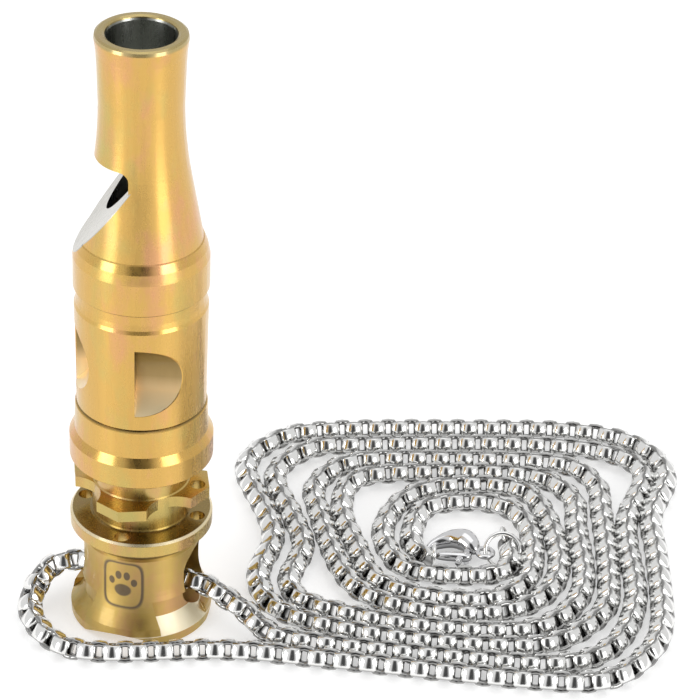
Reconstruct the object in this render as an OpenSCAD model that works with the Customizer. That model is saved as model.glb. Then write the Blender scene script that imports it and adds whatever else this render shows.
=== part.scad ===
// A slim training whistle that stands on its end cap, with a chain through the cap.
// Millimetres, +Z up. The origin is the middle of the foot, on the table.

/* [Whistle] */
// Height of the whistle
total_h = 68.6; // [67:0.1:72]
// Diameter of the collar and of the base flange
flange_d = 15; // [14.6:0.1:16]
// Diameter of the head's shoulder band
band_d = 13.9; // [13.7:0.1:14.3]
// Diameter of the mouthpiece bore
bore_d = 7; // [6.4:0.1:7.2]
// Play between parts that screw or turn in each other, on the radius
fit_gap = 0.05; // [0.03:0.01:0.09]

/* [Window] */
// Height of the window's flat top
window_top = 55.3; // [54.8:0.1:56]
// Slope of the window's ramp from the vertical, in degrees
ramp_angle = 34.8; // [33.6:0.2:36.6]
// Depth of the air slot beside the plug
air_slot = 0.6; // [0.4:0.1:0.9]

/* [Scoops] */
// How many scoops go round the barrel
scoop_count = 4; // [2:1:4]
// Radius of each scoop's curve
scoop_r = 5; // [4.6:0.1:5.2]
// Height of the scoops' middle
scoop_z = 32.4; // [32:0.1:32.8]

/* [End cap] */
// Diameter of the holes through the lobes
lobe_hole_d = 1.6; // [1.2:0.1:1.9]
// Width of the cross hole
cross_w = 5; // [4.4:0.1:5.4]
// Height of the cross hole
cross_h = 7.2; // [6.4:0.1:7.4]

/* [Chain and clasp] */
// Diameter of the chain's plain solid
chain_d = 2.1; // [1.6:0.1:2.2]
// Thickness of the clasp
clasp_t = 1.9; // [1.8:0.1:2.4]
// Thickness of the rings' wire
wire_d = 0.5; // [0.3:0.1:0.6]

/* [Hidden] */
$fn = 96;

metal = [0.79, 0.66, 0.44];
steel = [0.78, 0.78, 0.79];
black_rubber = [0.08, 0.08, 0.08];

bore_r = bore_d / 2;
band_r = band_d / 2;
flange_r = flange_d / 2;

// The seams, from the table up
cap_top = 20.1;
collar_bottom = 20.15;
barrel_bottom = 26.7;
barrel_top = 40.35;
head_bottom = 40.4;

// The screwed joints are drawn as plain studs in plain bores
head_spigot_r = 5.2;
head_spigot_l = 3;
chamber_r = 4.2;
chamber_floor = 30;
stud_r = 3.5;
stud_top = 25.5;

// The mouthpiece: a slim tube, a flare that starts at flare_top, then a straight cone
tube_r = 4.29;
flare_top = 61;
flare_l = 8;
cone_slope = 0.18;
cone_bottom = 46.1;
flare_end_r = tube_r + cone_slope * flare_l / 2;
cone_end_r = flare_end_r + cone_slope * (flare_top - flare_l - cone_bottom);

// The window: OpenSCAD angle of its middle, its deepest point and its corner
window_angle = -167;
window_depth = 0.8;
window_corner = 0.95;
ramp_top = 54.2;

// The scoops start in line with the window
scoop_angle = -77;
scoop_reach = 9.86;

// The end cap's levels
lobe_r = 6.2;
flange_z = 11.5;
flange_h = 1.6;
disc_z = 15.8;
disc_h = 1.25;
waist_r = 6.1;
neck_r = 5.18;
flare_z = 6.5;
flare_rate = 0.065;
hub_r = 3.4;
ledge_half = 3.2;
foot_slots = 3;
foot_r = 7.5;
cross_z = 5.8;

// The chain rests on the table, half its real thickness up, and crosses the cap higher
chain_lift = 1.25;
hole_lift = 4.5;
sides = 8;
left_run = [
    [-10.5, -6], [-6.5, -10.5], [-1, -11], [11.5, -6.5], [22.5, -4.5], [42, -1.5], [50.5, 1],
    [54, 6.5], [54.5, 13], [51.5, 25], [49.5, 32], [49.5, 40.5], [45.5, 45.5], [38.5, 46.5],
    [26, 43], [9.5, 37], [4.5, 32.5], [3.5, 26.5], [8.5, 18.5], [10.5, 14], [11, 7],
    [15, 2], [24.5, 1], [37.5, 3], [44.5, 6], [48, 12.5], [47.5, 18.5], [44, 31], [42, 36.5],
    [37, 39], [25.5, 36], [15, 32], [12, 26], [14, 20.5], [19, 11.5], [23.5, 7.5], [31, 7],
    [38, 9.5], [41.5, 14], [41.5, 20.5], [37.5, 29.5], [33.5, 32.5], [27, 31], [22.5, 27],
    [21.5, 20], [24.5, 14.5], [28, 13.5], [34, 15], [36.5, 17.5], [35.5, 22]
];
right_run = [
    [17.5, -2.5], [35.5, 0], [46, 2.5], [50.5, 7.5], [51, 16], [48, 26], [47, 31.5],
    [47, 40], [42, 43], [32, 41.5], [16, 36], [9.5, 33], [7, 26.5], [11, 19.5], [14, 14],
    [14.5, 7], [18.5, 4], [29.5, 4], [40, 6.5], [44, 10.5], [45, 17], [42, 27], [40, 33],
    [34, 35.5], [22, 32], [16, 28.5], [16, 22.5], [19.5, 16], [23.5, 10.5], [30, 9.5],
    [36.5, 11.5], [39, 16.5], [37.5, 24], [34.5, 28], [30, 28.5], [25, 25.5], [25, 19],
    [27.5, 16]
];
left_route = concat(
    [[0, 0, hole_lift], [-6.5, 0, hole_lift], [-10, -1.5, 3.5]],
    [for (p = left_run) [p[0], p[1], chain_lift]]
);
right_route = concat(
    [[0, 0, hole_lift], [6.5, 0, hole_lift], [11.5, -1, 3]],
    [for (p = right_run) [p[0], p[1], chain_lift]]
);

// The clasp lies flat, its eye at clasp_at and its hook towards clasp_turn
clasp_at = [33.4, 19.2, 0];
clasp_turn = 180;
pivot = [1.9, 0.75];
pivot_r = 0.33;
slot_z = 0.35;
slot_h = 1.2;
ring_r = 1.9;
ring_tilt = 50;
ring_turn = 19;
ring_at = [35.2, 19.8, 1.75];

// A point of a circle of radius r in the plane across d
function across(d, r, a) =
    let (
        level = [-d[1], d[0], 0] / norm([d[0], d[1], 0]),
        rise = cross(d, level)
    )
    r * (cos(a) * level + sin(a) * rise);

// The direction of a route at point i, the mean of the two stretches that meet there
function heading(route, i) =
    let (
        back = i > 0 ? (route[i] - route[i - 1]) / norm(route[i] - route[i - 1]) : [0, 0, 0],
        on = i < len(route) - 1 ? (route[i + 1] - route[i]) / norm(route[i + 1] - route[i]) : [0, 0, 0]
    )
    (back + on) / norm(back + on);

// A tube of eight sides with one ring of points at each point of its route
module tube(route, d) {
    count = len(route);
    points = [
        for (i = [0 : count - 1], k = [0 : sides - 1])
            route[i] + across(heading(route, i), d / 2, 360 * (k + 0.5) / sides)
    ];
    walls = [
        for (i = [0 : count - 2], k = [0 : sides - 1])
            [i * sides + k, (i + 1) * sides + k,
             (i + 1) * sides + (k + 1) % sides, i * sides + (k + 1) % sides]
    ];
    first = [for (k = [0 : sides - 1]) k];
    last = [for (k = [0 : sides - 1]) (count - 1) * sides + sides - 1 - k];
    polyhedron(points, concat(walls, [first, last]), convexity = 10);
}

// A ring of round section, r to the middle of its wire
module ring(r, wire_r) {
    rotate_extrude($fn = 48)
        translate([r, 0])
            circle(r = wire_r, $fn = 16);
}

// A groove round a shaft or in a bore, from r_in to r_out
module groove(r_in, r_out, z, h) {
    translate([0, 0, z])
        difference() {
            cylinder(h = h, r = r_out);
            translate([0, 0, -1])
                cylinder(h = h + 2, r = r_in);
        }
}

module head() {
    top = total_h;
    flare = [
        for (i = [0 : 6])
            let (z = flare_top - flare_l * i / 6)
            [tube_r + cone_slope * pow(flare_top - z, 2) / (2 * flare_l), z]
    ];
    color(metal)
        difference() {
            rotate_extrude()
                polygon(concat(
                    [
                        [bore_r, head_bottom - head_spigot_l],
                        [bore_r, top - 0.45], [bore_r + 0.1, top - 0.15], [bore_r + 0.35, top],
                        [4.35, top], [4.6, top - 0.15], [4.68, top - 0.5],
                        [4.5, top - 1.9], [4.41, top - 3.5]
                    ],
                    flare,
                    [
                        [cone_end_r, cone_bottom], [cone_end_r + 0.12, cone_bottom - 0.12],
                        [6.72, 45.1], [band_r - 0.05, 44.25], [band_r, 44],
                        [band_r, head_bottom + 0.15], [band_r - 0.15, head_bottom],
                        [head_spigot_r, head_bottom],
                        [head_spigot_r, head_bottom - head_spigot_l + 0.2],
                        [head_spigot_r - 0.2, head_bottom - head_spigot_l]
                    ]
                ));
            window_cut();
            groove(head_spigot_r - 0.6, head_spigot_r + 1, 38.4, 0.9);
        }
}

// The notch: a level top, a rounded corner and a ramp that runs out past the shoulder
module window_cut() {
    ramp = tan(ramp_angle);
    corner = [
        for (i = [0 : 5])
            [window_depth + window_corner * (1 - sin(18 * i)),
             window_top - window_corner * (1 - cos(18 * i))]
    ];
    rotate([0, 0, window_angle])
        translate([0, 10, 0])
            rotate([90, 0, 0])
                linear_extrude(20)
                    polygon(concat(
                        [[12, 42], [12, window_top]],
                        corner,
                        [[window_depth, ramp_top - window_depth / ramp], [ramp * (ramp_top - 42), 42]]
                    ));
}

module windway_plug() {
    length = 8.2;
    color(metal)
        rotate([0, 0, window_angle])
            difference() {
                translate([0, 0, window_top])
                    cylinder(h = length, r = bore_r);
                translate([bore_r - air_slot, -5, window_top - 1])
                    cube([5, 10, length + 2]);
            }
}

module head_seal() {
    color(black_rubber)
        translate([0, 0, 38.85])
            ring(4.85, 0.25);
}

module barrel() {
    color(metal)
        difference() {
            rotate_extrude()
                polygon([
                    [chamber_r, barrel_bottom], [6.55, barrel_bottom], [6.72, barrel_bottom + 0.2],
                    [6.87, 38.3], [6.74, 38.7], [6.65, 39.3], [6.6, barrel_top],
                    [head_spigot_r + fit_gap, barrel_top],
                    [head_spigot_r + fit_gap, head_bottom - head_spigot_l - 0.1],
                    [chamber_r, head_bottom - head_spigot_l - 0.1]
                ]);
            for (k = [0 : scoop_count - 1])
                rotate([0, 0, scoop_angle + 360 * k / scoop_count])
                    translate([scoop_reach, 0, scoop_z])
                        rotate([-90, 0, 0])
                            cylinder(h = 12, r = scoop_r);
        }
}

module barrel_seal() {
    color(black_rubber)
        translate([0, 0, 28.4])
            ring(chamber_r - 0.25, 0.25);
}

module collar() {
    color(metal)
        difference() {
            rotate_extrude()
                polygon([
                    [0, collar_bottom], [flange_r - 0.15, collar_bottom],
                    [flange_r, collar_bottom + 0.15], [flange_r, 22.7],
                    [6.97, 23.6], [6.85, barrel_bottom - 0.2], [6.6, barrel_bottom],
                    [chamber_r, barrel_bottom], [chamber_r, chamber_floor - 0.3],
                    [chamber_r - 0.3, chamber_floor], [0, chamber_floor]
                ]);
            translate([0, 0, collar_bottom - 1])
                cylinder(h = stud_top - collar_bottom + 1.5, r = stud_r + fit_gap);
            groove(chamber_r - 0.5, chamber_r + 1, 28.1, 0.6);
        }
}

module cap_seal() {
    color(black_rubber)
        translate([0, 0, 23.8])
            ring(stud_r - 0.25, 0.25);
}

module end_cap() {
    flange_top = flange_z + flange_h;
    disc_top = disc_z + disc_h;
    flare = [
        for (i = [0 : 8])
            let (z = 2 + (flare_z - 2) * i / 8)
            [waist_r + flare_rate * pow(flare_z - z, 2), z]
    ];
    color(metal) {
        difference() {
            union() {
                rotate_extrude()
                    polygon(concat(
                        [[0, 0], [foot_r - 0.1, 0], [foot_r, 0.15], [foot_r + 0.05, 1.2]],
                        flare,
                        [
                            [waist_r, 8.2], [6.2, 10], [5.9, 10.3], [5.9, flange_z],
                            [flange_r - 0.1, flange_z], [flange_r, flange_z + 0.1],
                            [flange_r, flange_top - 0.25], [flange_r - 0.25, flange_top],
                            [neck_r + 0.25, flange_top], [neck_r + 0.05, flange_top + 0.08],
                            [neck_r, flange_top + 0.3], [neck_r, disc_top], [neck_r - 0.02, disc_top],
                            [neck_r - 0.14, disc_top + 0.15], [neck_r - 0.14, cap_top],
                            [stud_r, cap_top], [stud_r, stud_top - 0.4],
                            [stud_r - 0.4, stud_top], [0, stud_top]
                        ]
                    ));
                lobed_disc();
            }
            lobe_holes();
            cross_hole();
            foot_arches();
            foot_ledges();
            groove(stud_r - 0.5, stud_r + 1, 23.5, 0.6);
        }
        cylinder(h = 1.8, r = hub_r);
    }
}

// An eight-sided disc with a bite between each pair of lobes
module lobed_disc() {
    translate([0, 0, disc_z])
        difference() {
            cylinder(h = disc_h, r = flange_r, $fn = 8);
            for (k = [0 : 3])
                rotate([0, 0, 45 + 90 * k])
                    translate([8.2, 0, -1])
                        cylinder(h = disc_h + 2, r = 3.12);
        }
}

// Four holes go down through the flange, and the side lobes above it are drilled too
module lobe_holes() {
    for (k = [0 : 3])
        rotate([0, 0, 90 * k])
            translate([lobe_r, 0, 10.6])
                cylinder(h = k % 2 == 0 ? 8 : 3.5, r = lobe_hole_d / 2, $fn = 32);
}

module cross_hole() {
    straight = cross_h - cross_w;
    translate([-10, 0, cross_z])
        rotate([90, 0, 90])
            linear_extrude(20)
                union() {
                    translate([0, straight / 2])
                        circle(r = cross_w / 2);
                    translate([0, -straight / 2])
                        circle(r = cross_w / 2);
                    square([cross_w, straight], center = true);
                }
}

// Three low arches leave three feet and a round hub between them
module foot_arches() {
    for (k = [0 : foot_slots - 1])
        rotate([0, 0, -90 + 120 * k])
            translate([1.5, 0, -6.8])
                rotate([0, 90, 0])
                    cylinder(h = 12, r = 8.1);
}

// Each foot is cut back to a steep ledge between two straight walls
module foot_ledges() {
    for (k = [0 : foot_slots - 1])
        rotate([0, 0, -30 + 120 * k])
            intersection() {
                translate([4, -ledge_half, 0.5])
                    cube([8, 2 * ledge_half, 6]);
                rotate_extrude()
                    polygon([[7.8, 0.9], [10, 0.9], [10, 4.8], [6, 4.8], [6, 2.7]]);
            }
}

module chain_left() {
    color(steel)
        tube(left_route, chain_d);
}

module chain_right() {
    color(steel)
        tube(right_route, chain_d);
}

// The small link that joins the left run's end to the big ring
module left_end_link() {
    color(steel)
        translate([34.9, 21.9, 2.4])
            rotate([60, 0, 100])
                ring(0.8, wire_d * 0.4);
}

// The ring on the right run's end, which the clasp's hook holds
module right_end_ring() {
    color(steel)
        translate([28.1, 17.2, 1.35])
            rotate([90, 0, 105])
                ring(1, wire_d * 0.45);
}

module clasp_ring() {
    color(steel)
        translate(ring_at)
            rotate([ring_tilt, 0, ring_turn])
                ring(ring_r, wire_d / 2);
}

module place_clasp() {
    translate(clasp_at)
        rotate([0, 0, clasp_turn])
            children();
}

module clasp_body() {
    hook = [4.1, -0.1];
    color(steel)
        place_clasp()
            difference() {
                union() {
                    linear_extrude(clasp_t)
                        union() {
                            polygon([[0.9, -0.7], [3, -2.25], [3, 1.6], [0.9, 1.2]]);
                            translate(hook)
                                circle(r = 2.4, $fn = 64);
                            translate(pivot)
                                circle(r = 1.05, $fn = 48);
                        }
                    translate([0, 0, 1.25])
                        linear_extrude(clasp_t - 1.25)
                            union() {
                                circle(r = 1.1, $fn = 48);
                                translate([0, -0.7])
                                    square([1.6, 1.6]);
                            }
                }
                translate([0, 0, -1])
                    linear_extrude(clasp_t + 2)
                        union() {
                            circle(r = 0.65, $fn = 32);
                            translate([4.4, 0.1])
                                circle(r = 1.4, $fn = 48);
                            polygon([[3, 0.1], [3.9, -1.2], [4.6, 1], [5.3, 1], [5.3, 4], [3, 4]]);
                            translate(pivot)
                                circle(r = 0.3, $fn = 24);
                        }
                translate([pivot[0] - 0.8, -0.85, slot_z])
                    cube([2.6, 5, slot_h]);
            }
}

// The gate: a boss on the pin, a bar to the hook's tip and a thumb tab outside
module clasp_lever() {
    play = 0.05;
    color(steel)
        place_clasp()
            difference() {
                translate([0, 0, slot_z + play])
                    linear_extrude(slot_h - 2 * play)
                        union() {
                            translate(pivot)
                                circle(r = 0.65, $fn = 32);
                            polygon([
                                [1.9, 0.2], [5.1, 0.9], [5.1, 1.7], [3.4, 1.75],
                                [2.9, 2.5], [2.3, 2.5], [1.9, 1.3]
                            ]);
                        }
                translate([pivot[0], pivot[1], -1])
                    cylinder(h = 4, r = pivot_r, $fn = 32);
            }
}

module clasp_pin() {
    color(steel)
        place_clasp()
            translate([pivot[0], pivot[1], 0.1])
                cylinder(h = clasp_t - 0.15, r = 0.3, $fn = 24);
}

// A leaf that lies on the slot's back wall and leans on the gate's heel
module clasp_spring() {
    color(steel)
        place_clasp()
            translate([0, 0, slot_z + 0.2])
                linear_extrude(slot_h - 0.4)
                    polygon([
                        [1.3, -0.85], [3.3, -0.85], [3.3, -0.75], [2.5, -0.7],
                        [1.9, -0.15], [1.8, -0.15], [2.2, -0.73], [1.3, -0.75]
                    ]);
}

head();
windway_plug();
head_seal();
barrel();
barrel_seal();
collar();
cap_seal();
end_cap();
chain_left();
chain_right();
left_end_link();
right_end_ring();
clasp_ring();
clasp_body();
clasp_lever();
clasp_pin();
clasp_spring();
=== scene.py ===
import math
import bpy
import numpy as np
from mathutils import Matrix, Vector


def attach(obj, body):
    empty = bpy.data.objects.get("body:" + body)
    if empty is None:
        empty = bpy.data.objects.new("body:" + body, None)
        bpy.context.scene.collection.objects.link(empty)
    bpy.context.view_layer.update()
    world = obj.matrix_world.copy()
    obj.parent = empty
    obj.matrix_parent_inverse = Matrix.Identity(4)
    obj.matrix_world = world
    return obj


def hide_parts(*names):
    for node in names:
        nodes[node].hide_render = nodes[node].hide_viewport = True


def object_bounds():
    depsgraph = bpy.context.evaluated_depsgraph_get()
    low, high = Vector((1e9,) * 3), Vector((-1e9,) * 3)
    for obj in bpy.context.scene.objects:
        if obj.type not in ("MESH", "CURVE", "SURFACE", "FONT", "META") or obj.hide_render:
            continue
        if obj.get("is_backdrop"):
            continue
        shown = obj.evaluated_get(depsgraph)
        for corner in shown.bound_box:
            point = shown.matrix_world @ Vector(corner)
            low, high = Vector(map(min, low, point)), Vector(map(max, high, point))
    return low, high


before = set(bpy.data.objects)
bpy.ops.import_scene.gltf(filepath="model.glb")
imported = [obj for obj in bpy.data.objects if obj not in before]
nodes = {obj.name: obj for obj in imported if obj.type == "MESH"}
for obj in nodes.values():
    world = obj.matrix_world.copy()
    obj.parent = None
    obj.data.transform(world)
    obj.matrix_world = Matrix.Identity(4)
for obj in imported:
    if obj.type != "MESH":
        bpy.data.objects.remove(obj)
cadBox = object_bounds()
mm = 0.001


def plainLists(value):
    # vectors inside vectors, each turned into a plain list of numbers
    if hasattr(value, "__len__"):
        return [plainLists(item) for item in value]
    return float(value)


sizes = {"cad": plainLists(cadBox)}

camera = {
    "position": (90.57, -263.04, 206.2),  # mm
    "side": 19.0,  # degrees round from the front
    "yaw": 4.40277,  # degrees turned to the right of the whistle
    "pitch": 31.92395,  # degrees turned down
    "roll": 2.33146,
    "lens": 164.22,  # mm, on the sensor below
    "sensor": 36,
    "clip": (0.01, 20),  # metres
}


def addCamera(values):
    # looks level at the axis from its side, then turned by yaw, pitch and roll:
    # ahead is the sum of cosines and sines of yaw and pitch on toward, right and up
    side, yaw, pitch, roll = (math.radians(values[k]) for k in ("side", "yaw", "pitch", "roll"))
    right = np.array([math.cos(side), math.sin(side), 0.0])
    toward = np.array([math.sin(side), -math.cos(side), 0.0])
    up = np.array([0.0, 0.0, 1.0])
    ahead = (
        -toward * math.cos(yaw) * math.cos(pitch)
        + right * math.sin(yaw) * math.cos(pitch)
        - up * math.sin(pitch)
    )
    across = np.cross(ahead, up)
    across /= np.linalg.norm(across)
    above = np.cross(across, ahead)
    turnedAcross = math.cos(roll) * across + math.sin(roll) * above
    turnedAbove = -math.sin(roll) * across + math.cos(roll) * above
    data = bpy.data.cameras.new("camera")
    data.lens = values["lens"]
    data.sensor_width = values["sensor"]
    data.clip_start, data.clip_end = values["clip"]
    obj = bpy.data.objects.new("camera", data)
    bpy.context.scene.collection.objects.link(obj)
    place = Matrix.Identity(4)
    for i in range(3):
        place[i][0] = turnedAcross[i]
        place[i][1] = turnedAbove[i]
        place[i][2] = -ahead[i]
        place[i][3] = values["position"][i] * mm
    obj.matrix_world = place
    bpy.context.scene.camera = obj


addCamera(camera)
print("camera placed")


def meshFrom(name, points, quads, reach, body, replaced):
    # a smooth mesh of quads, with painted shade stored on every point as how far light reaches into
    # it
    mesh = bpy.data.meshes.new(name)
    mesh.vertices.add(len(points))
    mesh.vertices.foreach_set("co", np.asarray(points, dtype=np.float32).ravel())
    quads = np.asarray(quads, dtype=np.int32)
    mesh.loops.add(quads.size)
    mesh.loops.foreach_set("vertex_index", quads.ravel())
    mesh.polygons.add(len(quads))
    mesh.polygons.foreach_set("loop_start", np.arange(len(quads), dtype=np.int32) * 4)
    mesh.polygons.foreach_set("use_smooth", np.full(len(quads), True))
    mesh.update(calc_edges=True)
    mesh.validate()
    stored = mesh.attributes.new("reach", "FLOAT", "POINT")
    stored.data.foreach_set("value", np.asarray(reach, dtype=np.float32))
    obj = bpy.data.objects.new(name, mesh)
    bpy.context.scene.collection.objects.link(obj)
    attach(obj, body)
    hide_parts(*replaced)
    return obj


def gridQuads(rows, columns, closedRows=False, closedColumns=False):
    # quads of a grid of points, row by row, optionally closed round either way
    r = np.arange(rows if closedRows else rows - 1)
    c = np.arange(columns if closedColumns else columns - 1)
    rr, cc = np.meshgrid(r, c, indexing="ij")
    r2, c2 = (rr + 1) % rows, (cc + 1) % columns
    return np.stack(
        [rr * columns + cc, rr * columns + c2, r2 * columns + c2, r2 * columns + cc], axis=-1
    ).reshape(-1, 4)


chain = {
    "width": 2.7,  # mm, across a link
    "pitch": 1.35,  # mm from one link to the next
    "linkLength": 2.3,
    "taper": 0.05,  # how much shorter a link is at the band's edges
    "plate": 0.5,  # thickness of a link's band
    "bandHalf": 0.85,  # half the band's width
    "squareness": 3.2,  # 2 is an ellipse, more is squarer
    "around": 12,  # points round a link
    # rows across the band: place from -1 to 1, whether on the inside, how far light reaches as
    # painted shade
    "rows": (
        (-1, 0, 0.3), (-0.75, 0, 1), (0.75, 0, 1), (1, 0, 0.3),
        (0.94, 1, 0.3), (0, 1, 0), (-0.94, 1, 0.3),
    ),
    "endShade": 0.85,  # how much painted shade darkens the two ends of a link
    "endPower": 12,  # more keeps the loss closer to the ends
    "lean": 13,  # degrees that the links lie over
    "leanToward": (0.33, -0.94, 0.0),
    "lift": 1.25,  # mm from the table to the route
    "clearance": 0.02,  # mm from the table to the links
    "leftStart": [(0, 0, 4.5), (-6.5, 0, 4.5), (-10, -1.5, 3.5)],  # through the cap's hole
    "rightStart": [(0, 0, 4.5), (6.5, 0, 4.5), (11.5, -1, 3)],
}
# mm, from the cap to the middle of the spiral
leftRun = [
    (-10.5, -6), (-6.5, -10.5), (-1, -11), (11.5, -6.5), (22.5, -4.5), (42, -1.5), (50.5, 1),
    (54, 6.5), (54.5, 13), (51.5, 25), (49.5, 32), (49.5, 40.5), (45.5, 45.5), (38.5, 46.5),
    (26, 43), (9.5, 37), (4.5, 32.5), (3.5, 26.5), (8.5, 18.5), (10.5, 14), (11, 7),
    (15, 2), (24.5, 1), (37.5, 3), (44.5, 6), (48, 12.5), (47.5, 18.5), (44, 31), (42, 36.5),
    (37, 39), (25.5, 36), (15, 32), (12, 26), (14, 20.5), (19, 11.5), (23.5, 7.5), (31, 7),
    (38, 9.5), (41.5, 14), (41.5, 20.5), (37.5, 29.5), (33.5, 32.5), (27, 31), (22.5, 27),
    (21.5, 20), (24.5, 14.5), (28, 13.5), (34, 15), (36.5, 17.5), (35.5, 22),
]
rightRun = [
    (17.5, -2.5), (35.5, 0), (46, 2.5), (50.5, 7.5), (51, 16), (48, 26), (47, 31.5),
    (47, 40), (42, 43), (32, 41.5), (16, 36), (9.5, 33), (7, 26.5), (11, 19.5), (14, 14),
    (14.5, 7), (18.5, 4), (29.5, 4), (40, 6.5), (44, 10.5), (45, 17), (42, 27), (40, 33),
    (34, 35.5), (22, 32), (16, 28.5), (16, 22.5), (19.5, 16), (23.5, 10.5), (30, 9.5),
    (36.5, 11.5), (39, 16.5), (37.5, 24), (34.5, 28), (30, 28.5), (25, 25.5), (25, 19),
    (27.5, 16),
]


def chainRoute(start, run, lift):
    # the points out of the hole, then the run's points at one height
    return np.array(start + [(x, y, lift) for x, y in run], dtype=float) * mm


leftRoute = chainRoute(chain["leftStart"], leftRun, chain["lift"])
rightRoute = chainRoute(chain["rightStart"], rightRun, chain["lift"])


def smoothPath(route, perStretch=24):
    # a Catmull-Rom curve: each stretch is a cubic through two points, leaning on their neighbours
    ends = np.vstack([2 * route[:1] - route[1:2], route, 2 * route[-1:] - route[-2:-1]])
    p0, p1, p2, p3 = ends[:-3, None], ends[1:-2, None], ends[2:-1, None], ends[3:, None]
    t = np.linspace(0, 1, perStretch, endpoint=False)[None, :, None]
    body = 0.5 * (
        2 * p1
        + (p2 - p0) * t
        + (2 * p0 - 5 * p1 + 4 * p2 - p3) * t**2
        + (3 * p1 - p0 - 3 * p2 + p3) * t**3
    )
    return np.vstack([body.reshape(-1, route.shape[1]), route[-1:]])


def alongPath(path, distances):
    # points at distances measured along a path, and headings: the way from the place
    # a little before each point to the place a little after it, made one long
    little = 0.2 * mm
    steps = np.linalg.norm(np.diff(path, axis=0), axis=1)
    run = np.concatenate([[0.0], np.cumsum(steps)])
    points = np.stack([np.interp(distances, run, path[:, i]) for i in range(3)], axis=1)
    ahead = np.stack([np.interp(distances + little, run, path[:, i]) for i in range(3)], axis=1)
    behind = np.stack([np.interp(distances - little, run, path[:, i]) for i in range(3)], axis=1)
    heading = ahead - behind
    return points, heading / np.linalg.norm(heading, axis=1, keepdims=True)


def pathLength(path):
    # the sum of the distances from each point to the next
    return float(np.linalg.norm(np.diff(path, axis=0), axis=1).sum())


def linkShape(values):
    # one box link: a band bent into a barrel-sided ring, a superellipse round the opening;
    # across the band its height falls as a circle does, so that the chain is round in section
    half = values["width"] * mm / 2
    length = values["linkLength"] * mm / 2
    plate = values["plate"] * mm
    deep = values["bandHalf"] * mm
    power = 2 / values["squareness"]
    angle = np.radians(np.arange(values["around"]) * 360 / values["around"])
    cosine, sine = np.cos(angle), np.sin(angle)
    along = np.sign(cosine) * np.abs(cosine) ** power
    high = np.sign(sine) * np.abs(sine) ** power
    rows = []
    # painted shade: the ends of the ring and its inside are dark, where little light reaches them
    ends = 1 - values["endShade"] * np.abs(along) ** values["endPower"] * (1 - np.abs(high))
    for part, inside, shade in values["rows"]:
        depth = deep * part
        inset = plate * inside
        rows.append(
            np.column_stack([
                along * (length * (1 - values["taper"] * abs(part)) - inset),
                high * (math.sqrt(half**2 - depth**2) - inset),
                np.full(len(angle), depth),
                ends * shade,
            ])
        )
    points = np.vstack(rows)
    quads = gridQuads(len(rows), len(angle), True, True)
    return points[:, :3], points[:, 3], quads


def chainMesh(name, path, values, body, replaced, firstTurn=0):
    # copies of the link along the path, each turned a quarter from the last: a link's point is
    # its centre plus its three measures times the heading, the side and the depth
    length = pathLength(path)
    count = int(length / (values["pitch"] * mm))
    gap = length / count
    distances = (np.arange(count) + 0.5) * gap
    centres, headings = alongPath(path, distances)
    # the route may dip between its points, but the links rest on the table
    centres[:, 2] = np.maximum(centres[:, 2], (values["width"] / 2 + values["clearance"]) * mm)
    level = np.cross(np.array([0.0, 0.0, 1.0]), headings)
    level /= np.linalg.norm(level, axis=1, keepdims=True)
    rise = np.cross(headings, level)
    lean = values["lean"] * (level @ np.array(values["leanToward"]))
    turn = np.radians(45 + 90 * ((np.arange(count) + firstTurn) % 2) - lean)[:, None]
    side = np.cos(turn) * level + np.sin(turn) * rise
    depth = -np.sin(turn) * level + np.cos(turn) * rise
    shape, shade, quads = linkShape(values)
    points = (
        centres[:, None]
        + shape[None, :, 0, None] * headings[:, None]
        + shape[None, :, 1, None] * side[:, None]
        + shape[None, :, 2, None] * depth[:, None]
    )
    allQuads = (quads[None] + (np.arange(count) * len(shape))[:, None, None]).reshape(-1, 4)
    obj = meshFrom(
        name, points.reshape(-1, 3), allQuads, np.tile(shade, count), body, replaced
    )
    print(name, "has", count, "links over", round(length / mm, 1), "mm")
    return obj, length


rootBody = "base"
leftPath = smoothPath(leftRoute)
rightPath = smoothPath(rightRoute)
chainLeft, leftLength = chainMesh("chainLeft", leftPath, chain, rootBody, ["chain_left"])
chainRight, rightLength = chainMesh("chainRight", rightPath, chain, rootBody, ["chain_right"], 1)

clasp = {
    "at": (33.4, 19.2),  # mm, the middle of the eye; the hook points to -x
    "rows": 40,
    "around": 20,
    "endPower": 10,  # more makes blunter ends
    "shade": (0.5, 0.9, 0.05),  # painted shade: the light half way up, what the top adds, and the least
    # each point: x, y, height of the middle, half width, half height
    "hook": [
        (0.85, 0.1, 1.3, 0.5, 0.5), (1.6, -0.6, 1.5, 1.0, 0.95), (2.7, -1.4, 1.6, 1.25, 1.2),
        (4.1, -1.5, 1.4, 1.05, 1.05), (5.3, -0.9, 1.1, 0.7, 0.85), (6.1, -0.1, 0.9, 0.45, 0.65),
        (6.3, 0.7, 0.8, 0.33, 0.5), (5.85, 1.3, 0.8, 0.24, 0.4),
    ],
    "gate": [
        (1.3, 0.5, 0.95, 0.2, 0.4), (1.9, 0.75, 0.95, 0.6, 0.55), (3.2, 1.15, 0.95, 0.5, 0.55),
        (4.6, 1.4, 0.9, 0.42, 0.5), (5.4, 1.4, 0.85, 0.3, 0.4),
    ],
    "tab": [(2.5, 1.0, 0.95, 0.3, 0.45), (2.55, 1.7, 0.95, 0.42, 0.5), (2.6, 2.3, 0.95, 0.3, 0.4)],
    "eyeRadius": 0.85,
    "eyeWire": 0.28,
    "eyeHeight": 1.45,
    "eyePoints": (48, 16),  # round the eye and round its wire
}


def reachOf(sine, values):
    # how far light reaches, painted as shade that darkens the underside: a middle value plus a part
    # of the sine of the way up, kept in range
    middle, swing, least = values["shade"]
    return np.clip(middle + swing * sine, least, 1)


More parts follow.
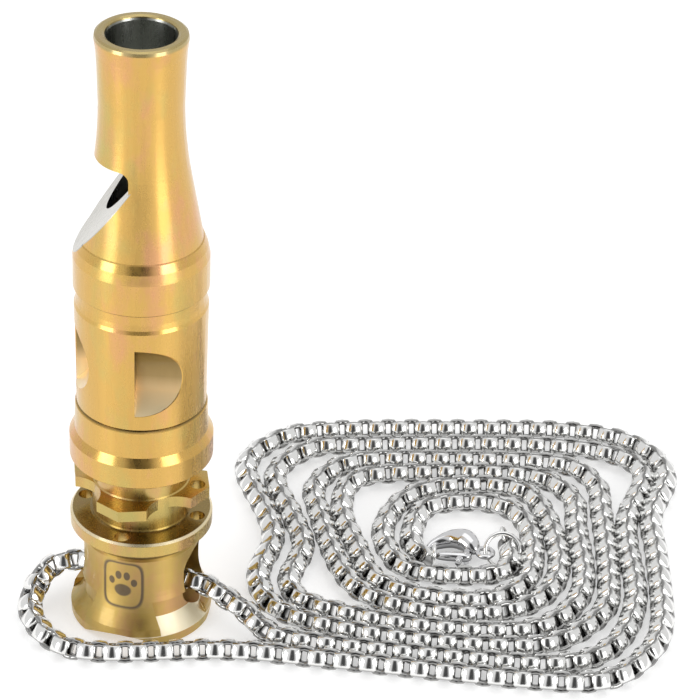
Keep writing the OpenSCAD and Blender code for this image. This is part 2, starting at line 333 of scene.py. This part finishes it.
def sweep(stops, values):
    # an oval swept along a flat smooth curve; towards each end it shrinks as the square root
    # of one less a high power of the place from -1 to 1, so that it closes on a pole
    curve = smoothPath(np.array(stops, dtype=float), 30)
    rows = curve[np.linspace(0, len(curve) - 1, values["rows"]).round().astype(int)]
    ahead = np.gradient(rows[:, :2], axis=0)
    ahead /= np.linalg.norm(ahead, axis=1, keepdims=True)
    fade = np.linspace(-1, 1, len(rows))
    fade = np.sqrt(1 - np.clip(np.abs(fade), 0, 0.9999) ** values["endPower"])
    angle = np.arange(values["around"]) * 2 * math.pi / values["around"]
    wide = np.cos(angle)[None] * (rows[:, 3] * fade)[:, None]
    high = np.sin(angle)[None] * (rows[:, 4] * fade)[:, None]
    points = np.stack([
        rows[:, :1] + ahead[:, 1:] * wide,
        rows[:, 1:2] - ahead[:, :1] * wide,
        rows[:, 2:3] + high,
    ], axis=-1)
    shade = np.broadcast_to(reachOf(np.sin(angle), values), points.shape[:2])
    quads = gridQuads(len(rows), len(angle), False, True)
    return points.reshape(-1, 3), quads[:, ::-1], shade.ravel()


def eye(values):
    # a torus: a wire's circle carried round a circle of the eye's radius
    radius, wire, height = (values[key] for key in ("eyeRadius", "eyeWire", "eyeHeight"))
    around, section = values["eyePoints"]
    u, v = np.meshgrid(
        np.arange(around) * 2 * math.pi / around, np.arange(section) * 2 * math.pi / section,
        indexing="ij",
    )
    out = radius + wire * np.cos(v)
    points = np.stack([out * np.cos(u), out * np.sin(u), height + wire * np.sin(v)], axis=-1)
    quads = gridQuads(around, section, True, True)
    return points.reshape(-1, 3), quads[:, ::-1], reachOf(np.sin(v), values).ravel()


def claspPiece(name, parts, body, replaced):
    # the parts are joined and turned half round: x and y change sign and the clasp's place is
    # added, all in millimetres
    points, quads, shades, start = [], [], [], 0
    for partPoints, partQuads, partShade in parts:
        points.append(partPoints)
        quads.append(partQuads + start)
        shades.append(partShade)
        start += len(partPoints)
    placed = np.vstack(points) * [-1, -1, 1] + [clasp["at"][0], clasp["at"][1], 0]
    return meshFrom(
        name, placed * mm, np.vstack(quads), np.concatenate(shades), body, replaced
    )


claspBody = claspPiece(
    "claspBody", [sweep(clasp["hook"], clasp), eye(clasp)], rootBody, ["clasp_body"]
)
claspGate = claspPiece(
    "claspGate", [sweep(clasp["gate"], clasp), sweep(clasp["tab"], clasp)], "gate", ["clasp_lever"]
)
print("clasp made")

print("chain laid")


class Socket:
    # a shader value that sums, scales and compares like a number, one Math node for each step
    def __init__(self, tree, out):
        self.tree = tree
        self.out = out

    def math(self, operation, *others, clamp=False):
        node = self.tree.nodes.new("ShaderNodeMath")
        node.operation = operation
        node.use_clamp = clamp
        for i, item in enumerate((self,) + others):
            if isinstance(item, Socket):
                self.tree.links.new(item.out, node.inputs[i])
            else:
                node.inputs[i].default_value = item
        return Socket(self.tree, node.outputs[0])

    def flipped(self, operation, other):
        # the number comes first: number less socket, number over socket
        node = self.tree.nodes.new("ShaderNodeMath")
        node.operation = operation
        node.inputs[0].default_value = other
        self.tree.links.new(self.out, node.inputs[1])
        return Socket(self.tree, node.outputs[0])

    def __add__(self, other):
        return self.math("ADD", other)

    __radd__ = __add__

    def __sub__(self, other):
        return self.math("SUBTRACT", other)

    def __rsub__(self, other):
        return self.flipped("SUBTRACT", other)

    def __mul__(self, other):
        return self.math("MULTIPLY", other)

    __rmul__ = __mul__

    def __truediv__(self, other):
        return self.math("DIVIDE", other)

    def __rtruediv__(self, other):
        return self.flipped("DIVIDE", other)

    def __lt__(self, other):
        return self.math("LESS_THAN", other)

    def __gt__(self, other):
        return self.math("GREATER_THAN", other)

    def __pow__(self, other):
        return self.math("POWER", other)

    def clamped(self):
        # kept between 0 and 1
        return self.math("ADD", 0.0, clamp=True)

    def absolute(self):
        return self.math("ABSOLUTE")

    def root(self):
        return self.math("SQRT")

    def least(self, other):
        return self.math("MINIMUM", other)

    def most(self, other):
        return self.math("MAXIMUM", other)


class Finish:
    # one material: its tree, its shader and the nodes that feed it
    def __init__(self, name, uniform):
        self.material = bpy.data.materials.new(name)
        self.material.use_nodes = True
        self.tree = self.material.node_tree
        self.shader = next(n for n in self.tree.nodes if n.type == "BSDF_PRINCIPLED")
        for socket, value in uniform.items():
            self.shader.inputs[socket].default_value = value

    def node(self, kind, settings=None, sockets=None, out=0):
        # any node: its settings first, then the values and links of its sockets
        made = self.tree.nodes.new(kind)
        for key, value in (settings or {}).items():
            if key == "stops":
                ramp = made.color_ramp
                while len(ramp.elements) < len(value):
                    ramp.elements.new(0.5)
                for element, (place, tint) in zip(ramp.elements, value):
                    element.position = place
                    element.color = tint
            else:
                setattr(made, key, value)
        for key, value in (sockets or {}).items():
            if isinstance(value, Socket):
                self.tree.links.new(value.out, made.inputs[key])
            else:
                made.inputs[key].default_value = value
        return Socket(self.tree, made.outputs[out])

    def place(self):
        # the point's place on the object, in metres
        return self.node("ShaderNodeTexCoord", out="Object")

    def split(self, vector):
        made = self.tree.nodes.new("ShaderNodeSeparateXYZ")
        self.tree.links.new(vector.out, made.inputs[0])
        return [Socket(self.tree, made.outputs[i]) for i in range(3)]

    def blend(self, amount, first, second):
        # the first colour times one less the amount, plus the second times the amount
        return self.node(
            "ShaderNodeMix", {"data_type": "RGBA"}, {0: amount, 6: first, 7: second}, out=2
        )

    def noise(self, sockets, dimensions="3D"):
        return self.node("ShaderNodeTexNoise", {"noise_dimensions": dimensions}, sockets)

    def rings(self, z, apart):
        # noise that changes only with height, a ring for every few tool marks
        return self.noise({"W": z / apart, "Scale": 1.0, "Detail": 3.0, "Roughness": 0.7}, "1D")

    def stretched(self, vector, up):
        # the same place with its height scaled, so that a pattern on it runs up the piece
        return self.node("ShaderNodeMapping", sockets={"Vector": vector, "Scale": (1, 1, up)})

    def feed(self, socket, value):
        self.tree.links.new(value.out, self.shader.inputs[socket])

    def bump(self, height, strength, distance):
        return self.node(
            "ShaderNodeBump", sockets={"Strength": strength, "Distance": distance, "Height": height}
        )

    def wear(self, obj):
        obj.data.materials.clear()
        obj.data.materials.append(self.material)


goldLook = {
    "base": (0.65, 0.395, 0.10, 1),
    "rose": (0.68, 0.35, 0.15, 1),
    "green": (0.54, 0.42, 0.12, 1),
    # the dark of the joints, also laid on the cap's recess as painted shade
    "seam": (0.16, 0.11, 0.035, 1),
    "roughness": 0.27,
    "anisotropy": 0.75,
    "coat": 0.4,
    "coatRoughness": 0.12,
    "turning": 0.3,  # mm between tool marks
    "grain": (1500.0, 0.1),  # scale, and how it is scaled up the axis
    "drift": 0.45,  # how the heat colours are scaled up the axis
    "roseSpots": (260.0, 0.5),  # scale, and the noise above which the rose shows
    "greenSpots": (190.0, 0.53),
    "spotEdge": 6,
    "seamHalf": 0.14,  # mm
    "seamDepth": 0.8,
    "bump": (0.07, 0.00002),  # strength, and depth in metres
}
headLook = dict(
    goldLook,
    bare=(0.42, 0.43, 0.40, 1),
    boreRadius=3.56,  # mm, inside it the head is bare metal
    boreFrom=46,  # mm up the axis
    boreRings=(0.2, 8),  # mm apart, and how deep
    ramp=(0.50, 0.48, 0.43, 1),
    rampAngle=34.8,  # degrees from the vertical
    rampTop=54.2,  # mm, where the ramp's plane meets the axis
    rampToward=(-0.97437, -0.22495),
    rampHalf=0.08,  # mm either side of the plane
    rampBelow=53.3,
    rampOut=0.4,  # mm out from the axis
    lip=(0.40, 0.35, 0.17, 1),
    lipFrom=68.0,
    lipEdge=4,
    lipDepth=0.75,
    seams=(40.45,),
)
barrelLook = dict(
    goldLook,
    seams=(40.4, 26.72),
    pocketRadius=6.7,
    pocketFrom=27.0,
    pocketTo=37.8,
    pocketRough=0.25,  # rougher by
    pocketGrain=(700.0, 2),  # scale and depth
    pocketTints=[  # painted light on the floor to painted shade under the roof
        (0.15, (1.0, 0.85, 0.55, 1)), (0.36, (0.95, 0.68, 0.35, 1)),
        (0.50, (0.48, 0.33, 0.13, 1)), (0.64, (0.34, 0.23, 0.075, 1)),
        (0.86, (0.15, 0.09, 0.014, 1)),
    ],
)
collarLook = dict(goldLook, seams=(26.68,))
capLook = dict(
    goldLook,
    base=(0.58, 0.40, 0.115, 1),
    rose=(0.58, 0.34, 0.14, 1),
    green=(0.47, 0.38, 0.115, 1),
    seams=(13.15, 10.35),
    skirtTop=11.4,
    skirtRough=0.22,  # rougher by
    # painted shade under the flange
    recess=(10.2, 11.55, 6.4),  # mm: from, to, within this radius
    recessDepth=0.55,
    # a painted highlight along the flange's top edge
    edge=(12.87, 13.2, 7.26),  # mm: from, to, beyond this radius
    edgeDepth=0.6,
    # the painted highlight's colour, on the ledges of the feet and the flange's edge
    ledge=(1.0, 0.90, 0.66, 1),
    ledgeSum=8.7,  # mm, radius and height added
    ledgeHalf=0.06,
    ledgeFrom=0.95,
    ledgeTo=2.7,
    etched=(0.16, 0.12, 0.08, 1),
    etchedDepth=0.9,
    etchedRough=0.15,
    etchedBump=6,
    iconAt=(0.0, 6.95),  # mm across and up
    iconHalf=(2.3, 2.95),
    iconPower=5,  # 2 is an ellipse, more is squarer
    iconLine=0.42,  # mm, the frame's width
    iconEdge=3,
    iconRadius=5.5,  # mm, beyond it the icon shows
    # the paw: each oval's middle and half widths, from the frame's middle
    paw=(
        ((0, -0.75), (1.0, 0.8)), ((-1.22, 0.28), (0.36, 0.52)), ((-0.46, 1.08), (0.38, 0.58)),
        ((0.46, 1.08), (0.38, 0.58)), ((1.22, 0.28), (0.36, 0.52)),
    ),
)


def makeGold(name, values, special):
    # satin gold: the base colour with spots of rose and green where slow noise is high, rough
    # as fine grain plus a few tool marks, and whatever the piece's own finish changes
    finish = Finish(
        name,
        {"Metallic": 1.0, "Anisotropic": values["anisotropy"], "Anisotropic Rotation": 0.25,
         "Coat Weight": values["coat"], "Coat Roughness": values["coatRoughness"]},
    )
    place = finish.place()
    x, y, z = (part * 1000 for part in finish.split(place))  # mm
    radius = (x * x + y * y).root()
    rings = finish.rings(z, values["turning"])
    scale, squeeze = values["grain"]
    grain = finish.noise({
        "Vector": finish.stretched(place, squeeze), "Scale": scale, "Detail": 3.0,
        "Roughness": 0.6,
    })
    # the heat colours drift slowly over the surface, stretched a little up the axis
    drift = finish.stretched(place, values["drift"])
    scale, level = values["roseSpots"]
    rosy = finish.noise({"Vector": drift, "Scale": scale, "Detail": 4.0, "Roughness": 0.6})
    rosy = ((rosy - level) * values["spotEdge"]).clamped()
    scale, level = values["greenSpots"]
    greenish = finish.noise(
        {"Vector": drift, "W": 3.7, "Scale": scale, "Detail": 4.0, "Roughness": 0.6}, "4D"
    )
    greenish = ((greenish - level) * values["spotEdge"]).clamped()
    tint = finish.blend(rosy, values["base"], values["rose"])
    tint = finish.blend(greenish, tint, values["green"])
    for seam in values["seams"]:
        # a seam darkens as one less the square of the distance from its height
        line = (1 - ((z - seam).absolute() / values["seamHalf"]) ** 2).clamped()
        tint = finish.blend(line * values["seamDepth"], tint, values["seam"])
    rough = grain * 0.22 + rings * 0.05 + (values["roughness"] - 0.13)
    height = rings * 0.5 + grain
    tint, rough, height = special(finish, values, (x, y, z, radius), (tint, rough, height))
    finish.feed("Base Color", tint)
    finish.feed("Roughness", rough)
    finish.feed("Normal", finish.bump(height, *values["bump"]))
    return finish


def plainFinish(finish, values, at, looks):
    # nothing is changed
    return looks


def headFinish(finish, values, at, looks):
    # duller from just under the top, and bare metal in the bore and on the window's ramp
    x, y, z, radius = at
    tint, rough, height = looks
    lip = ((z - values["lipFrom"]) * values["lipEdge"]).clamped() * values["lipDepth"]
    tint = finish.blend(lip, tint, values["lip"])
    # the bore: within its radius and above its floor
    bore = (radius < values["boreRadius"]) * (z > values["boreFrom"])
    tint = finish.blend(bore, tint, values["bare"])
    apart, deep = values["boreRings"]
    height = height * (1 - bore) + finish.rings(z, apart) * bore * deep
    # the ramp: close to the plane that leans away from the axis as it goes down
    out = x * values["rampToward"][0] + y * values["rampToward"][1]
    lean = math.tan(math.radians(values["rampAngle"]))
    ramp = (out - (values["rampTop"] - z) * lean).absolute() < values["rampHalf"]
    ramp = ramp * (z < values["rampBelow"]) * (out > values["rampOut"])
    tint = finish.blend(ramp, tint, values["ramp"])
    return tint, rough, height


def barrelFinish(finish, values, at, looks):
    # the scoops were milled: inside a radius and between two heights the metal is duller, with
    # painted light making it pale on the floor and painted shade making it olive under the roof
    z, radius = at[2:]
    tint, rough, height = looks
    low, high = values["pocketFrom"], values["pocketTo"]
    inside = (radius < values["pocketRadius"]) * (z > low) * (z < high)
    up = ((z - low) / (high - low)).clamped()
    paintedPocketLightAndShade = finish.node("ShaderNodeValToRGB", {"stops": values["pocketTints"]}, {"Fac": up})
    scale, deep = values["pocketGrain"]
    grain = finish.noise(
        {"Vector": finish.place(), "Scale": scale, "Detail": 3.0, "Roughness": 0.6}
    )
    tint = finish.blend(inside, tint, paintedPocketLightAndShade)
    return tint, rough + inside * values["pocketRough"], height + inside * grain * deep


def powers(across, up, half, power):
    # the sum of powers that is below 1 inside a superellipse, and with power 2 inside an ellipse
    return (across / half[0]).absolute() ** power + (up / half[1]).absolute() ** power


def capFinish(finish, values, at, looks):
    # a rougher skirt, painted shade in the recess, a painted highlight on the flange edge and on the
    # ledges, and the etched icon
    x, y, z, radius = at
    tint, rough, height = looks
    skirt = ((values["skirtTop"] - z) * 4).clamped()
    rough = rough + skirt * values["skirtRough"]
    # painted shade in the recess under the flange and a painted highlight on the flange's top edge:
    # bands of height, within or beyond a radius
    low, high, reach = values["recess"]
    recess = (z > low) * (z < high) * (radius < reach)
    tint = finish.blend(recess * values["recessDepth"], tint, values["seam"])
    low, high, reach = values["edge"]
    edge = (z > low) * (z < high) * (radius > reach)
    tint = finish.blend(edge * values["edgeDepth"], tint, values["ledge"])
    # a painted highlight on the ledges on the feet: the cone where radius and height add up to one
    # sum
    ledge = (radius + z - values["ledgeSum"]).absolute() < values["ledgeHalf"]
    ledge = ledge * (z < values["ledgeTo"]) * (z > values["ledgeFrom"]) * (x > 0)
    tint = finish.blend(ledge, tint, values["ledge"])
    # the icon on the front: a squarish frame, which is the band between two superellipses,
    # round a paw print, which is the least of its ovals' sums
    across = x - values["iconAt"][0]
    up = z - values["iconAt"][1]
    wide, tall = values["iconHalf"]
    line, power, sharp = values["iconLine"], values["iconPower"], values["iconEdge"]
    outer = powers(across, up, (wide, tall), power)
    inner = powers(across, up, (wide - line, tall - line), power)
    frameLine = ((1 - outer) * sharp).clamped() * ((inner - 1) * sharp).clamped()
    ovals = [powers(across - middle[0], up - middle[1], half, 2) for middle, half in values["paw"]]
    paw = ovals[0]
    for toe in ovals[1:]:
        paw = paw.least(toe)
    icon = frameLine.most(((1 - paw) * sharp).clamped()) * (y < 0) * (radius > values["iconRadius"])
    tint = finish.blend(icon * values["etchedDepth"], tint, values["etched"])
    return tint, rough + icon * values["etchedRough"], height - icon * values["etchedBump"]


steelLook = {
    "tint": (0.86, 0.86, 0.85, 1),
    "shadow": (0.05, 0.048, 0.045, 1),  # painted shade, where light never reaches
    "roughness": 0.12,
    "grain": 900.0,
    "grainDepth": 0.16,
}
claspLook = dict(
    steelLook, tint=(0.72, 0.72, 0.73, 1), shadow=(0.03, 0.03, 0.03, 1), roughness=0.11
)
pinLook = dict(steelLook, tint=(0.60, 0.60, 0.61, 1), roughness=0.2)
rubberLook = {"tint": (0.012, 0.012, 0.012, 1), "roughness": 0.5, "grain": 1500.0, "grainDepth": 0.2}


def makeSteel(name, values, recessed=False):
    # polished steel: roughness is the least value plus fine noise, and recessed pieces go from
    # the tint to the painted shadow as the reach of light stored on their points falls
    finish = Finish(name, {"Metallic": 1.0, "Base Color": values["tint"]})
    grain = finish.noise(
        {"Vector": finish.place(), "Scale": values["grain"], "Detail": 3.0, "Roughness": 0.6}
    )
    depth = values["grainDepth"]
    finish.feed("Roughness", grain * depth + (values["roughness"] - depth / 2))
    if recessed:
        # painted shade: darker where the stored reach of light falls
        reach = finish.node("ShaderNodeAttribute", {"attribute_name": "reach"}, out="Fac")
        finish.feed("Base Color", finish.blend(reach, values["shadow"], values["tint"]))
    return finish


def makeRubber(values):
    # dull black: roughness is the least value plus fine noise
    finish = Finish("sealRubber", {"Base Color": values["tint"]})
    grain = finish.noise({"Vector": finish.place(), "Scale": values["grain"]})
    finish.feed("Roughness", grain * values["grainDepth"] + values["roughness"])
    return finish


headGold = makeGold("headGold", headLook, headFinish)
barrelGold = makeGold("barrelGold", barrelLook, barrelFinish)
collarGold = makeGold("collarGold", collarLook, plainFinish)
capGold = makeGold("capGold", capLook, capFinish)
chainSteel = makeSteel("chainSteel", steelLook, True)
ringSteel = makeSteel("ringSteel", steelLook)
claspSteel = makeSteel("claspSteel", claspLook, True)
pinSteel = makeSteel("pinSteel", pinLook)
rubber = makeRubber(rubberLook)
cadLooks = {
    "head": headGold, "windway_plug": headGold, "barrel": barrelGold, "collar": collarGold,
    "end_cap": capGold, "head_seal": rubber, "barrel_seal": rubber, "cap_seal": rubber,
    "clasp_body": pinSteel, "clasp_lever": pinSteel, "clasp_pin": pinSteel,
    "clasp_spring": pinSteel,
}
for name, obj in nodes.items():
    cadLooks.get(name, ringSteel).wear(obj)
for obj in (chainLeft, chainRight):
    chainSteel.wear(obj)
for obj in (claspBody, claspGate):
    claspSteel.wear(obj)
print("finishes made")

studio = {
    "floor": (0.70, 0.70, 0.70, 1),
    "floorHalf": 2.0,  # metres
    "floorRough": 0.9,
    "glow": 0.45,  # keeps the floor as white as the paper
    "world": 0.8,
    "shade": 0.08,  # brightness of the dark band of the room, in front
    "shadeSide": (0.276, -0.961),  # the way that the band faces
    "shadeWide": (0.90, 0.975),  # cosines between which the band fades in
    "shadeTop": (0.80, 0.92),  # heights between which it fades out
    "key": 0.85,  # watts
    "top": 0.9,
    "keyHeight": 0.16,  # metres
    "keyDistance": 0.5,
    "keyAim": (0, 0, 0.03),
}


def addFloor(values):
    # a square sheet at height 0, white paper that glows a little
    half = values["floorHalf"]
    points = [(-half, -half, 0), (half, -half, 0), (half, half, 0), (-half, half, 0)]
    mesh = bpy.data.meshes.new("floor")
    mesh.from_pydata(points, [], [(0, 1, 2, 3)])
    obj = bpy.data.objects.new("floor", mesh)
    bpy.context.scene.collection.objects.link(obj)
    finish = Finish(
        "paper",
        {"Base Color": values["floor"], "Roughness": values["floorRough"],
         "Emission Color": (1, 1, 1, 1), "Emission Strength": values["glow"]},
    )
    finish.wear(obj)
    obj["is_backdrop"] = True


def addWorld(values):
    # a white room with a soft dark upright band: the cosine between the level direction and
    # the band's side fades it in, and the height fades it out
    world = bpy.data.worlds.new("studio")
    world.use_nodes = True
    tree = world.node_tree
    background = tree.nodes["Background"]
    direction = Socket(tree, tree.nodes.new("ShaderNodeTexCoord").outputs["Generated"])
    parts = tree.nodes.new("ShaderNodeSeparateXYZ")
    tree.links.new(direction.out, parts.inputs[0])
    x, y, z = (Socket(tree, out) for out in parts.outputs)
    toward = (x * values["shadeSide"][0] + y * values["shadeSide"][1]) / (x * x + y * y).root()
    low, high = values["shadeWide"]
    bottom, top = values["shadeTop"]
    patch = ((toward - low) / (high - low)).clamped() * ((top - z) / (top - bottom)).clamped()
    bright = 1.0 - patch * (1 - values["shade"])
    tree.links.new((bright * values["world"]).out, background.inputs["Strength"])
    background.inputs["Color"].default_value = (1, 1, 1, 1)
    bpy.context.scene.world = world


def addPanel(name, at, aim, size, power):
    # a rectangle of light whose back axis runs from its aim to its place
    data = bpy.data.lights.new(name, "AREA")
    data.shape = "RECTANGLE"
    data.size, data.size_y = size
    data.energy = power
    obj = bpy.data.objects.new(name, data)
    bpy.context.scene.collection.objects.link(obj)
    back = np.array(at, dtype=float) - np.array(aim, dtype=float)
    back /= np.linalg.norm(back)
    across = np.cross([0.0, 0.0, 1.0], back)
    across /= np.linalg.norm(across)
    above = np.cross(back, across)
    place = Matrix.Identity(4)
    for i in range(3):
        place[i][0], place[i][1], place[i][2], place[i][3] = across[i], above[i], back[i], at[i]
    obj.matrix_world = place
    obj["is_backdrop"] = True


def addKey(name, side, size, values):
    # a panel on a circle round the whistle, side in degrees from the front: distance times
    # sine across and minus distance times cosine back
    turn, distance = math.radians(side), values["keyDistance"]
    at = (distance * math.sin(turn), -distance * math.cos(turn), values["keyHeight"])
    addPanel(name, at, values["keyAim"], size, values["key"])


addFloor(studio)
addWorld(studio)
addKey("leftPanel", -38, (0.2, 0.32), studio)
addKey("rightPanel", 64.6, (0.22, 0.32), studio)
addPanel("topPanel", (0.05, 0.1, 0.9), (0.02, 0.02, 0), (0.7, 0.7), studio["top"])
bpy.context.scene.view_settings.view_transform = "Standard"
print("studio lit")

sizes["visual"] = plainLists(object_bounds())
